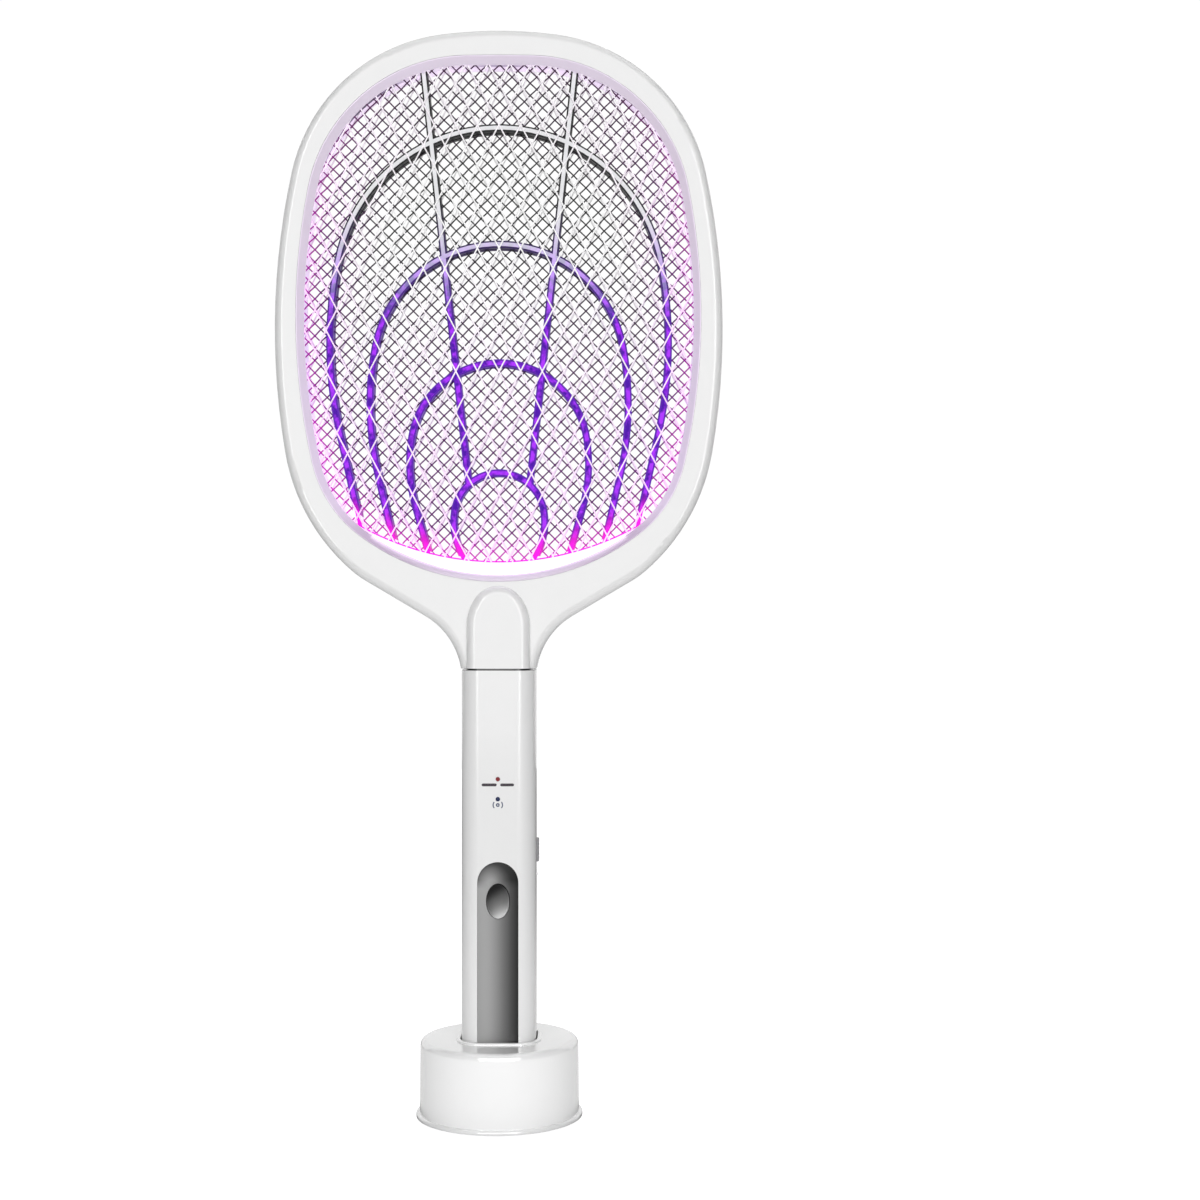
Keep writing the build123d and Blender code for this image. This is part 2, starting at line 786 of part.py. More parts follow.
def slab_profile(grow, low_y, high_y):
    return Pos(0, 0, inlet_middle()) * slab(inlet_profile(grow), low_y, high_y)


def inlet_shell():
    """Metal shell of the USB-C inlet, open at the back of the dock."""
    back = INLET_Y - INLET_SIZE[1]
    return slab_profile(0, back, INLET_Y) - slab_profile(-0.3, back + 0.6, INLET_Y)


def inlet_tongue():
    back = INLET_Y - INLET_SIZE[1]
    middle = inlet_middle()
    return block((-3.3, 3.3), (back + 0.6, INLET_Y - 1.2), (middle - 0.35, middle + 0.35))


def dock_cover():
    low = FLANGE_Z[0]
    cover = post(0, 0, DOCK_TOP_R - DOCK_WALL - 0.2, low, low + COVER_T)
    for x, y in COVER_SCREWS:
        cover -= post(x, y, 1.4, low, low + COVER_T)
        cover -= post(x, y, 2.6, low, low + 1.2)
    for x, y in COVER_FEET:
        cover -= post(x, y, FOOT_R + 0.1, low, low + 0.7)
    for x in (-8.5, 8.5):
        for y in (-6.0, 22.0):
            cover += post(x, y, 1.8, low + COVER_T, DOCK_BOARD_Z[0])
    return cover


def rubber_feet():
    feet = []
    for x, y in COVER_FEET:
        foot = post(x, y, FOOT_R, 0, FLANGE_Z[0] + 0.7)
        feet.append(chamfer(foot.faces().sort_by(Axis.Z)[0].edges(), 0.4))
    return feet


def cover_screws():
    low = FLANGE_Z[0]
    screws = []
    for x, y in COVER_SCREWS:
        body = post(x, y, 2.4, low + 0.1, low + 1.2) + post(x, y, 1.1, low + 1.2, low + 9.0)
        body -= block((x - 1.5, x + 1.5), (y - 0.35, y + 0.35), (low + 0.1, low + 0.8))
        body -= block((x - 0.35, x + 0.35), (y - 1.5, y + 1.5), (low + 0.1, low + 0.8))
        screws.append(body)
    return screws


def dock_board():
    board = block((-11.0, 11.0), (-9.0, 28.0), DOCK_BOARD_Z)
    return board + block((-6.5, 6.5), (28.0, 33.2), DOCK_BOARD_Z)


def pin_barrels():
    low = DOCK_BOARD_Z[1]
    barrels = []
    for x in (-CONTACT_X, CONTACT_X):
        barrel = post(x, 0, BARREL_R, low, SOCKET_FLOOR - 0.2)
        barrels.append(barrel - post(x, 0, BARREL_BORE_R, low + 0.4, SOCKET_FLOOR - 0.2))
    return barrels


def contact_pin(x):
    """Round-nosed pin; its lower end stays inside its barrel."""
    top = CONTACT_Z - 0.15
    pin = post(x, 0, PIN_R, DOCK_BOARD_Z[1] + 0.7 + PIN_TRAVEL, top)
    return fillet(pin.faces().sort_by(Axis.Z)[-1].edges(), 0.6)


# ---------------------------------------------------------------- write every piece


def all_parts():
    bezel = bezel_ring()
    mesh = guard_mesh()
    caps = rib_caps()
    ribs = spacer()
    carrier = grid_carrier()
    return {
        "front_frame": front_frame(),
        "rear_frame": rear_frame(),
        "head_screws": head_screws(),
        "front_bezel_ring": bezel,
        "rear_bezel_ring": to_rear(bezel),
        "front_guard_mesh": mesh,
        "rear_guard_mesh": to_rear(mesh),
        "front_rib_caps": caps,
        "rear_rib_caps": to_rear(caps),
        "front_spacer": ribs,
        "rear_spacer": to_rear(ribs),
        "front_grid_carrier": carrier,
        "rear_grid_carrier": to_rear(carrier),
        "high_voltage_grid": grid_wires(),
        "light_bar": light_bar(),
        "led_board": led_board(),
        "uv_leds": uv_leds(),
        "front_handle_shell": front_handle_shell(),
        "rear_handle_shell": rear_handle_shell(),
        "handle_screws": handle_screws(),
        "thumb_inlay": thumb_inlay(),
        "zap_button": zap_button(),
        "tact_switch": tact_switch(),
        "tact_plunger": tact_plunger(),
        "mode_slider": mode_slider(),
        "mode_switch": mode_switch(),
        "mode_switch_lever": switch_lever(),
        "red_indicator": indicator(RED_Z),
        "blue_indicator": indicator(BLUE_Z),
        "indicator_leds": indicator_leds(),
        "main_board": main_board(),
        "step_up_transformer": transformer(),
        "film_capacitor": film_capacitor(),
        "rectifier_diodes": rectifiers(),
        "battery_cell": cell(),
        "cell_contacts": cell_contacts(),
        "high_voltage_leads": [high_voltage_lead(-1), high_voltage_lead(1)],
        "charge_leads": [charge_lead(-1), charge_lead(1)],
        "handle_end_cap": end_cap(),
        "charging_contacts": charging_contacts(),
        "dock_shell": dock_shell(),
        "dock_bottom_cover": dock_cover(),
        "dock_rubber_feet": rubber_feet(),
        "dock_cover_screws": cover_screws(),
        "dock_board": dock_board(),
        "usb_c_inlet_shell": inlet_shell(),
        "usb_c_inlet_tongue": inlet_tongue(),
        "contact_pin_barrels": pin_barrels(),
        "contact_pin_left": contact_pin(-CONTACT_X),
        "contact_pin_right": contact_pin(CONTACT_X),
    }


def write_parts():
    os.makedirs("parts", exist_ok=True)
    for name, shape in all_parts().items():
        solids = shape if isinstance(shape, list) else [shape]
        bodies = [solid for item in solids for solid in item.solids()]
        export_step(Compound(bodies) if len(bodies) > 1 else bodies[0], f"parts/{name}.step")


write_parts()
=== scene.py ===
import json
import math

import bpy
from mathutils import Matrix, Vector
from mathutils.bvhtree import BVHTree


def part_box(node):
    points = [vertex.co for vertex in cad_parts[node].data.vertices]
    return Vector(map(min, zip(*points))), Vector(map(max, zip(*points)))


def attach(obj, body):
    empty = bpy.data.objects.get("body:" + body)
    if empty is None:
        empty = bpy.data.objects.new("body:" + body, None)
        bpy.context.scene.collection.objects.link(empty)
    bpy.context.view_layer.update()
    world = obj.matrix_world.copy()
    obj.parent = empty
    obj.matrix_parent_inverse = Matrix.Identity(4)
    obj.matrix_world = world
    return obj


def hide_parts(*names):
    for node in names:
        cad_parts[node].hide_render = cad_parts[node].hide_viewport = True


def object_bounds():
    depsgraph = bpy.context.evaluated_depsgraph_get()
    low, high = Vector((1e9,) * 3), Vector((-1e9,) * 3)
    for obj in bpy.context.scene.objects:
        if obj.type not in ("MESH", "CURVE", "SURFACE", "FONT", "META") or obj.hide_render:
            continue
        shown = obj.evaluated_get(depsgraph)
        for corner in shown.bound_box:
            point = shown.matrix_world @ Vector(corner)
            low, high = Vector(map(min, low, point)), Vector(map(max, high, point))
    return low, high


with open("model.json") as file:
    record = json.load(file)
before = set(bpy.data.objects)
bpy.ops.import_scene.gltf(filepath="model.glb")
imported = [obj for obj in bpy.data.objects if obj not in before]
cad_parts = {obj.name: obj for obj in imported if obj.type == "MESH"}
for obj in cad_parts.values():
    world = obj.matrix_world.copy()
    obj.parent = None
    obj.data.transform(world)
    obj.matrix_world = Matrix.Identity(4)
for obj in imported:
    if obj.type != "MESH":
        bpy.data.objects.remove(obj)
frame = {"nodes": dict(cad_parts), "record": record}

nodes = frame["nodes"]
cad_low, cad_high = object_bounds()

# Camera: level, at the height of the object's middle; the object stands left of the centre line
CAMERA_DISTANCE = 0.9
CAMERA_HEIGHT = 0.2395
CAMERA_RIGHT = 0.0467
FRAME_WIDTH = 0.558
SENSOR = 36.0

# Guard mesh: moulded strands and a flat rim
GUARD_PITCH = Vector((0.010, 0, 0.019))
STRAND_HALF_WIDTH = 0.00036
STRAND_SIDES = 8
SHORTEST_STRAND = 0.004
RIM_WIDTH = 2.4 * STRAND_HALF_WIDTH
RIM_POINTS = 240

# High-voltage cloth: crimped round wires at 45 degrees
CLOTH_PITCH = 0.00405
WIRE_SIDES = 6
WIRE_STEPS = 4
EDGE_GAP = 0.001

# Printed marks on the handle, in millimetres
MM = 0.001
INK_PROUD = 0.04
DASHES = ((-7.4, -0.5), (1.1, 7.4))
DASH_HEIGHT = 1.3
DASH_DROP = 2.6
RING_RADII = (0.3, 0.9)
RING_DROP = 2.7
ARC_RADII = (1.9, 2.4)
ARC_STARTS = (-40, 140)
ARC_SWEEP = 80

# Outline of the mesh stack: a circle at its foot and a superellipse round all of it
STACK_FOOT_R = 0.1339
MOUTH_POWER = 2.6

# Heights between which the lamps' light on the mesh, rib caps and ribs grows from none to full
MESH_FOOT_LIGHT = (0.42, 0.26)
MESH_SIDE_LIGHT = (0.475, 0.40)
MESH_EDGE_LIGHT = (0.48, 0.42)
CAP_LIGHT = (0.425, 0.365)
RIB_LIGHT = (0.43, 0.33)

# How far above the stack's round foot a look at that foot starts to fade
FOOT_BAND = 0.002

# Where on the stack's outline the insulating ribs' pale rim begins, whose pale colour and glow are
# painted light over the shade there
CARRIER_RIM = (0.972, 0.976)

# Bezel: its two edges against the stack's foot, heights where its looks and its painted glow change, and
# the distance of its rings' inner faces from the middle plane, near which painted light lifts their shade
BEZEL_EDGES = (-0.0078, -0.0055)
BEZEL_DULL = (0.262, 0.285)
BEZEL_SIDES = (0.245, 0.285)
BEZEL_TOP = (0.45, 0.49)
BEZEL_INNER_FACE = (0.0056, 0.0062)

# Gap between the head's foot and the handle shells, where the painted shadow line in it ends in height,
# and where that painted shade grows darker towards the sides
SEAM_GAP = 0.0007
SEAM_SHADOW_LINE = (0.62 * SEAM_GAP, 0.72 * SEAM_GAP)
SEAM_SHADOW_SIDES = (0.004, 0.013)

# The button's bowl, which its flange surrounds
BOWL_HALF_WIDTH = 0.00515
BOWL_HALF_HEIGHT = 0.0078

# Where the light bar turns pink towards its ends
LIGHT_BAR_ENDS = (0.03, 0.085)

# Wire on the transformer
TURN_PITCH = 0.0004

# Stage: floor, its pool of light from the middle outwards, and the strength of the surroundings
FLOOR_HALF_SIZE = 7.0
POOL_START = (0.038, 0.055)
POOL_FADE = (0.15, 0.8)
PAPER_WHITE = 1.02
WORLD_LIGHT = 0.10

# CAD nodes whose look isn't that of their material slot
OWN_LOOKS = {"zap_button": "button_grey"}


# ---------------------------------------------------------------- shader helpers


looks = {}


def opaque(colour):
    """A plain colour with its alpha; a node's output stays as it is."""
    return (*colour, 1.0) if isinstance(colour, tuple) else colour


def darker(colour, share):
    return tuple(channel * share for channel in colour)


class Look:
    """A Principled material, kept in looks under its name; its methods build the node inputs."""

    def __init__(self, name, colour, roughness, **sockets):
        looks[name] = self
        self.material = bpy.data.materials.new(name)
        self.material.use_nodes = True
        self.tree = self.material.node_tree
        self.shader = self.tree.nodes["Principled BSDF"]
        self.set("Base Color", opaque(colour))
        self.set("Roughness", roughness)
        for socket, value in sockets.items():
            self.set(socket.replace("_", " ").title().replace("Ior", "IOR"), value)

    def set(self, socket, value):
        self.shader.inputs[socket].default_value = value

    def node(self, kind, **settings):
        made = self.tree.nodes.new("ShaderNode" + kind)
        for key, value in settings.items():
            setattr(made, key, value)
        return made

    def feed(self, source, target):
        """Links an output, or sets a plain value, on an input."""
        if isinstance(source, bpy.types.NodeSocket):
            self.tree.links.new(source, target)
        else:
            target.default_value = source

    def position(self):
        return self.node("TexCoord").outputs["Object"]

    def axis(self, name):
        split = self.node("SeparateXYZ")
        self.feed(self.position(), split.inputs[0])
        return split.outputs[name]

    def math(self, operation, *values):
        made = self.node("Math", operation=operation)
        for value, target in zip(values, made.inputs):
            self.feed(value, target)
        return made.outputs[0]

    def noise(self, scale, detail=2.0, stretch=(1, 1, 1)):
        mapping = self.node("Mapping")
        self.feed(self.position(), mapping.inputs["Vector"])
        mapping.inputs["Scale"].default_value = stretch
        made = self.node("TexNoise")
        self.feed(mapping.outputs[0], made.inputs["Vector"])
        made.inputs["Scale"].default_value = scale
        made.inputs["Detail"].default_value = detail
        return made.outputs["Fac"]

    def span(self, source, low, high, to_low=0.0, to_high=1.0, smooth=False):
        """Maps a range of the source to another range, clamped."""
        made = self.node("MapRange", clamp=True)
        if smooth:
            made.interpolation_type = "SMOOTHSTEP"
        for value, target in zip((source, low, high, to_low, to_high), made.inputs):
            self.feed(value, target)
        return made.outputs["Result"]

    def blend(self, share, first, second):
        """Colour between the first, at 0, and the second, at 1."""
        made = self.node("Mix", data_type="RGBA")
        self.feed(share, made.inputs["Factor"])
        for colour, target in ((first, made.inputs[6]), (second, made.inputs[7])):
            self.feed(opaque(colour), target)
        return made.outputs[2]

    def colour(self, source):
        self.feed(source, self.shader.inputs["Base Color"])

    def colour_so_far(self):
        return self.shader.inputs["Base Color"].links[0].from_socket

    def mottle(self, dark, light, scale):
        """Faint cloudy variation of the base colour."""
        self.colour(self.blend(self.span(self.noise(scale, 3.0), 0.35, 0.65), dark, light))

    def vary_roughness(self, low, high, scale):
        smudges = self.span(self.noise(scale, 4.0), 0.3, 0.7, low, high)
        self.feed(smudges, self.shader.inputs["Roughness"])

    def ramp(self, source, stops):
        """Greys along the source, smoothed; stops are (position, linear grey)."""
        made = self.node("ValToRGB")
        self.feed(source, made.inputs[0])
        ramp = made.color_ramp
        ramp.interpolation = "B_SPLINE"
        while len(ramp.elements) < len(stops):
            ramp.elements.new(1.0)
        for element, (position, grey) in zip(ramp.elements, stops):
            element.position = position
            element.color = (grey, grey, grey, 1.0)
        return made.outputs["Color"]

    def bump(self, source, height):
        made = self.node("Bump")
        made.inputs["Strength"].default_value = 1.0
        made.inputs["Distance"].default_value = height
        self.feed(source, made.inputs["Height"])
        self.feed(made.outputs[0], self.shader.inputs["Normal"])

    def glow(self, colour, strength):
        self.feed(opaque(colour), self.shader.inputs["Emission Color"])
        self.feed(strength, self.shader.inputs["Emission Strength"])


# ---------------------------------------------------------------- materials


def moulded_plastic(name, colour, roughness, coat=0.0, grain=0.000005, **sockets):
    """Injection-moulded plastic: fine grain, a faint mottle and slight changes of gloss."""
    look = Look(name, colour, roughness, coat_weight=coat, **sockets)
    look.mottle(darker(colour, 0.993), colour, 120.0)
    look.vary_roughness(roughness * 0.99, roughness * 1.01, 60.0)
    look.bump(look.noise(2600.0), grain)
    return look


def metal(name, colour, roughness, stretch=(1, 1, 1)):
    """Plated or drawn metal with fine scratches."""
    look = Look(name, colour, roughness, metallic=1.0)
    look.mottle(darker(colour, 0.8), colour, 900.0)
    look.vary_roughness(roughness * 0.7, roughness * 1.3, 1200.0)
    look.bump(look.noise(3000.0, stretch=stretch), 0.000006)
    return look


def mouth_level(look):
    """0 in the middle of the mesh and 1 all along its edge, on rounded squares in between."""
    low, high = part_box("front_spacer")
    middle = (low + high) / 2
    half = (high - low) / 2
    across = look.math("DIVIDE", look.math("ABSOLUTE", look.axis("X")), half.x)
    drop = look.math("ABSOLUTE", look.math("SUBTRACT", look.axis("Z"), middle.z))
    along = look.math("DIVIDE", drop, half.z)
    powers = [look.math("POWER", value, MOUTH_POWER) for value in (across, along)]
    return look.math("POWER", look.math("ADD", *powers), 1 / MOUTH_POWER)


def lit_share(look):
    """How strongly the violet light reaches a place in the mesh: most at its foot and sides."""
    foot = look.span(look.axis("Z"), *MESH_FOOT_LIGHT, smooth=True)
    side = look.span(mouth_level(look), 0.55, 1.0, smooth=True)
    fading = look.span(look.axis("Z"), *MESH_SIDE_LIGHT, 0.10, 1.0)
    return look.math("MAXIMUM", look.math("MULTIPLY", foot, 0.75), look.math("MULTIPLY", side, fading))


def edge_share(look, low, high):
    """1 at the edge of the mesh, fading inwards, and weaker towards the top."""
    side = look.span(mouth_level(look), low, high, smooth=True)
    return look.math("MULTIPLY", side, look.span(look.axis("Z"), *MESH_EDGE_LIGHT, 0.12, 1.0))


def foot_rise(look):
    """Height above the round foot of the mesh stack, negative below it."""
    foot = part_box("front_spacer")[0].z
    rise = look.math("SUBTRACT", look.axis("Z"), foot)
    curve = look.math("POWER", look.math("ABSOLUTE", look.axis("X")), 2.0)
    return look.math("SUBTRACT", rise, look.math("MULTIPLY", curve, 1 / (2 * STACK_FOOT_R)))


def foot_edge(look, reach):
    """1 at the round foot of the mesh stack, falling to 0 over the reach above it."""
    return look.span(foot_rise(look), FOOT_BAND, reach, 1.0, 0.0, smooth=True)


def white_plastic():
    """Frame and handle: glossy white, with a dark shadow line in the seam between them."""
    look = moulded_plastic("white_plastic", (0.80, 0.80, 0.80), 0.28, coat=0.7, coat_roughness=0.10)
    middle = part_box("front_handle_shell")[1].z + SEAM_GAP / 2
    off = look.math("ABSOLUTE", look.math("SUBTRACT", look.axis("Z"), middle))
    seam = look.span(off, *SEAM_SHADOW_LINE, 1.0, 0.0)
    aside = look.span(look.math("ABSOLUTE", look.axis("X")), *SEAM_SHADOW_SIDES)
    plain_colour = look.colour_so_far()
    # Painted shadow: the seam goes dark grey, nearly black towards the sides
    look.colour(look.blend(seam, plain_colour, look.blend(aside, (0.16, 0.16, 0.16), (0.03, 0.03, 0.03))))


def lilac_plastic():
    """Bezel: a painted lilac glow lights its shaded sides, top and inner faces; it is duller beside the
    light bar at the foot.
    """
    look = moulded_plastic("lilac_plastic", (0.72, 0.65, 0.75), 0.28, coat=0.2)
    height = look.axis("Z")
    inside = look.span(foot_rise(look), *BEZEL_EDGES)
    low_down = look.span(height, *BEZEL_DULL, 1.0, 0.0, smooth=True)
    plain_colour = look.colour_so_far()
    look.colour(look.blend(look.math("MULTIPLY", inside, low_down), plain_colour, (0.52, 0.43, 0.55)))
    # Painted light: glow standing in for light on the bezel's shaded sides, top and inner faces
    sides = look.span(height, *BEZEL_SIDES, 0.02, 0.18, smooth=True)
    top = look.span(height, *BEZEL_TOP, 0.0, 0.04, smooth=True)
    to_mesh = look.span(look.math("ABSOLUTE", look.axis("Y")), *BEZEL_INNER_FACE, 0.42, 0.0)
    look.glow((0.88, 0.75, 0.94), look.math("ADD", look.math("ADD", sides, top), to_mesh))


def mesh_white():
    """Guard mesh: white, tinted pink where the lamps' light reaches it; a painted white glow over all of
    it lifts its shaded strands.
    """
    look = moulded_plastic("mesh_white", (0.86, 0.84, 0.87), 0.34, coat=0.2)
    lit = lit_share(look)
    look.colour(look.blend(lit, (0.86, 0.86, 0.86), (0.88, 0.60, 0.89)))
    # Painted light: white glow of 0.2 everywhere, rising to pink 0.4 where the lamps' light reaches
    look.glow(look.blend(lit, (1.0, 1.0, 1.0), (1.0, 0.66, 1.0)), look.span(lit, 0.0, 1.0, 0.2, 0.4))


def rib_plastic():
    """Light-guiding caps of the ribs: white at the top; lower down the lamps' violet light, and at the
    foot its magenta, are painted on as colour and glow.
    """
    look = moulded_plastic("rib_plastic", (0.8, 0.8, 0.8), 0.35, specular_ior_level=0.1)
    # Painted light: the lamps' violet, and magenta at the foot, as base colour and glow
    violet = look.span(look.axis("Z"), *CAP_LIGHT, smooth=True)
    patches = look.span(look.noise(260.0), 0.40, 0.60)
    deep = look.blend(patches, (0.06, 0.0, 0.32), (0.34, 0.025, 0.80))
    foot = foot_edge(look, 0.018)
    look.colour(look.blend(foot, look.blend(violet, (0.80, 0.80, 0.82), deep), (0.78, 0.006, 0.60)))
    look.glow(look.blend(foot, deep, (0.85, 0.01, 0.62)), look.math("MULTIPLY", violet, 0.30))


def carrier_plastic():
    """Insulating ribs: black at the top, with the lamps' dark violet then magenta light painted on lower
    down as colour and glow; their rim is painted pale and glows, as painted light in its shade.
    """
    look = moulded_plastic("carrier_plastic", (0.02, 0.02, 0.02), 0.4, specular_ior_level=0.2)
    # Painted light: pale colour and glow on the rim, which lies in shade
    rim = look.span(mouth_level(look), *CARRIER_RIM)
    violet = look.span(look.axis("Z"), *RIB_LIGHT, smooth=True)
    foot = foot_edge(look, 0.014)
    # Painted light: the lamps' violet and magenta lower down, in colour and glow
    upright = look.blend(violet, (0.008, 0.008, 0.009), (0.085, 0.004, 0.34))
    look.colour(look.blend(rim, look.blend(foot, upright, (0.62, 0.01, 0.45)), (0.72, 0.64, 0.76)))
    light = look.blend(foot, (0.09, 0.0, 0.36), (0.8, 0.02, 0.5))
    strength = look.math("MAXIMUM", look.math("MULTIPLY", violet, 0.30), look.math("MULTIPLY", rim, 0.55))
    look.glow(look.blend(rim, light, (0.90, 0.78, 0.95)), strength)


def grid_steel():
    """High-voltage cloth: dark wire, pink where the lamps' light reaches it."""
    look = metal("grid_steel", (0.16, 0.16, 0.16), 0.42)
    rim = look.math("MAXIMUM", foot_edge(look, 0.008), edge_share(look, 0.86, 0.98))
    pink = look.blend(rim, (0.21, 0.006, 0.25), (0.46, 0.02, 0.38))
    look.colour(look.blend(lit_share(look), (0.06, 0.06, 0.06), pink))
    look.glow((0.50, 0.03, 0.42), look.math("MULTIPLY", rim, 0.4))


def diffuser():
    """Light bar: white in the middle, pink towards its ends."""
    look = moulded_plastic("diffuser", (0.92, 0.90, 0.95), 0.5)
    side = look.span(look.math("ABSOLUTE", look.axis("X")), *LIGHT_BAR_ENDS, smooth=True)
    cloud = look.span(look.noise(90.0), 0.3, 0.7, 0.0, 0.25)
    look.glow(look.blend(look.math("MAXIMUM", side, cloud), (0.95, 0.96, 1.0), (1.0, 0.80, 1.0)), 1.1)


def arch_shade(look):
    """Share of light left on the inlay: little under its round top, and less towards the right."""
    low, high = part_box("thumb_inlay")
    centre = high.z - (high.x - low.x) / 2
    across = look.math("ADD", look.axis("X"), 0.0025)
    above = look.math("SUBTRACT", look.axis("Z"), centre - 0.0008)
    squares = [look.math("MULTIPLY", value, value) for value in (across, above)]
    distance = look.math("SQRT", look.math("ADD", *squares))
    dark = look.span(distance, 0.002, 0.009, 1.0, 0.15)
    return look.span(look.axis("Z"), centre - 0.003, centre + 0.001, 1.0, dark)


def inlay_grey():
    """Dark grey inlay with its shading painted on: graded from light on the left to nearly black on the
    right, with painted shade under its round top.
    """
    low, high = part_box("thumb_inlay")
    look = moulded_plastic("inlay_grey", (0.16, 0.16, 0.16), 0.35, specular_ior_level=0.3)
    place = look.span(look.axis("X"), low.x, high.x)
    shades = ((0.0, 0.33), (0.25, 0.38), (0.52, 0.21), (0.75, 0.08), (0.90, 0.032), (1.0, 0.012))
    # Painted shade: the grading and the darkening under the round top stand in for how light falls on the
    # inlay
    look.colour(look.blend(arch_shade(look), (0.0, 0.0, 0.0), look.ramp(place, shades)))


def button_grey():
    """The inlay's grey in the button's bowl, with its shading painted on: black shade under its upper
    edge, painted light at its lower right.
    """
    low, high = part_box("zap_button")
    middle = (low + high) / 2
    look = moulded_plastic("button_grey", (0.16, 0.16, 0.16), 0.4, specular_ior_level=0.25)
    fall = look.span(look.axis("Z"), middle.z + BOWL_HALF_HEIGHT, middle.z - BOWL_HALF_HEIGHT, 0.0, 0.8)
    aside = look.span(look.axis("X"), middle.x - BOWL_HALF_WIDTH, middle.x + BOWL_HALF_WIDTH, 0.0, 0.3)
    shades = (
        (0.0, 0.0), (0.20, 0.0), (0.32, 0.02), (0.46, 0.09),
        (0.65, 0.16), (0.80, 0.30), (0.93, 0.62), (1.0, 0.65))
    # Painted shade and light of the bowl, graded downwards and to the right
    look.colour(look.ramp(look.math("ADD", fall, aside), shades))


def circuit_board():
    look = Look("board_green", (0.03, 0.16, 0.07), 0.35, coat_weight=0.5)
    weave = look.noise(700.0, 1.0, (1, 1, 6))
    look.colour(look.blend(look.span(weave, 0.4, 0.6), (0.02, 0.11, 0.05), (0.03, 0.18, 0.08)))
    look.bump(weave, 0.00002)


def wound_ferrite():
    look = Look("ferrite", (0.09, 0.06, 0.04), 0.5)
    phase = look.math("MULTIPLY", look.axis("Z"), 2 * math.pi / TURN_PITCH)
    turns = look.span(look.math("SINE", phase), -1, 1)
    look.colour(look.blend(turns, (0.05, 0.03, 0.02), (0.20, 0.11, 0.06)))
    look.bump(turns, 0.0001)


def clear_lens(name, colour, strength):
    look = Look(name, colour, 0.12, coat_weight=1.0, transmission_weight=0.25)
    look.mottle(darker(colour, 0.7), colour, 800.0)
    look.glow(colour, strength)


def make_looks():
    moulded_plastic("dock_plastic", (0.93, 0.93, 0.93), 0.16, coat=1.0, coat_roughness=0.02, coat_ior=2.0)
    white_plastic()
    lilac_plastic()
    mesh_white()
    rib_plastic()
    carrier_plastic()
    grid_steel()
    diffuser()
    inlay_grey()
    button_grey()
    moulded_plastic("slider_grey", (0.33, 0.33, 0.34), 0.45)
    circuit_board()
    wound_ferrite()
    clear_lens("lamp", (0.75, 0.70, 0.95), 1.0)
    clear_lens("red_lens", (0.26, 0.012, 0.02), 0.08)
    clear_lens("blue_lens", (0.008, 0.022, 0.10), 0.08)
    metal("steel", (0.55, 0.55, 0.56), 0.32)
    metal("contact_brass", (0.78, 0.56, 0.22), 0.25)
    metal("nickel", (0.66, 0.65, 0.62), 0.2, stretch=(1, 1, 8))
    moulded_plastic("black_plastic", (0.02, 0.02, 0.02), 0.5)
    moulded_plastic("capacitor_red", (0.32, 0.04, 0.02), 0.3, coat=0.6)
    moulded_plastic("cell_wrap", (0.03, 0.17, 0.34), 0.25, coat=0.5)
    moulded_plastic("wire_red", (0.42, 0.02, 0.02), 0.4)
    moulded_plastic("rubber", (0.03, 0.03, 0.03), 0.75, grain=0.00003)
    moulded_plastic("ink", (0.03, 0.02, 0.03), 0.4)
    moulded_plastic("blue_ink", (0.05, 0.07, 0.14), 0.4)


def paint_cad_nodes():
    """Every CAD node takes the look of its material slot, apart from those in OWN_LOOKS."""
    for part in frame["record"]["subparts"]:
        mesh = nodes[part["node"]].data
        look = OWN_LOOKS.get(part["node"], part["material_slot"])
        mesh.materials.clear()
        mesh.materials.append(looks[look].material)


# ---------------------------------------------------------------- pieces


def new_piece(name, vertices, faces, look, body, smooth=True):
    mesh = bpy.data.meshes.new(name)
    mesh.from_pydata(vertices, [], faces)
    mesh.materials.append(looks[look].material)
    mesh.polygons.foreach_set("use_smooth", [smooth] * len(mesh.polygons))
    mesh.update()
    piece = bpy.data.objects.new(name, mesh)
    bpy.context.scene.collection.objects.link(piece)
    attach(piece, body)
    return piece


def node_tree(name):
    mesh = nodes[name].data
    return BVHTree.FromPolygons([v.co for v in mesh.vertices], [p.vertices for p in mesh.polygons])


def crossing_span(tree, middle, direction, gap):
    """Where a line enters and leaves a node, from the middle and each end shortened by the gap."""
    reach = (cad_high - cad_low).length
    enter = tree.ray_cast(middle - direction * reach, direction)[3]
    leave = tree.ray_cast(middle + direction * reach, -direction)[3]
    if enter is None or leave is None:
        return None
    return enter - reach + gap, reach - leave - gap


class Strands:
    """Many closed strands in one mesh; each follows points in a plane that faces the front."""

    def __init__(self, half_width, half_depth, sides):
        self.half_width = half_width
        self.half_depth = half_depth
        self.sides = sides
        self.vertices = []
        self.faces = []

    def add(self, points, direction):
        across = Vector((-direction.z, 0, direction.x))
        start = len(self.vertices)
        for point in points:
            for side in range(self.sides):
                angle = 2 * math.pi * (side + 0.5) / self.sides
                offset = across * (self.half_width * math.cos(angle))
                offset.y = self.half_depth * math.sin(angle)
                self.vertices.append(point + offset)
        for ring in range(len(points) - 1):
            low = start + ring * self.sides
            for side in range(self.sides):
                following = (side + 1) % self.sides
                near = (low + side, low + following)
                far = (low + following + self.sides, low + side + self.sides)
                self.faces.append(near + far)
        last = start + (len(points) - 1) * self.sides
        self.faces.append(tuple(reversed(range(start, start + self.sides))))
        self.faces.append(tuple(range(last, last + self.sides)))


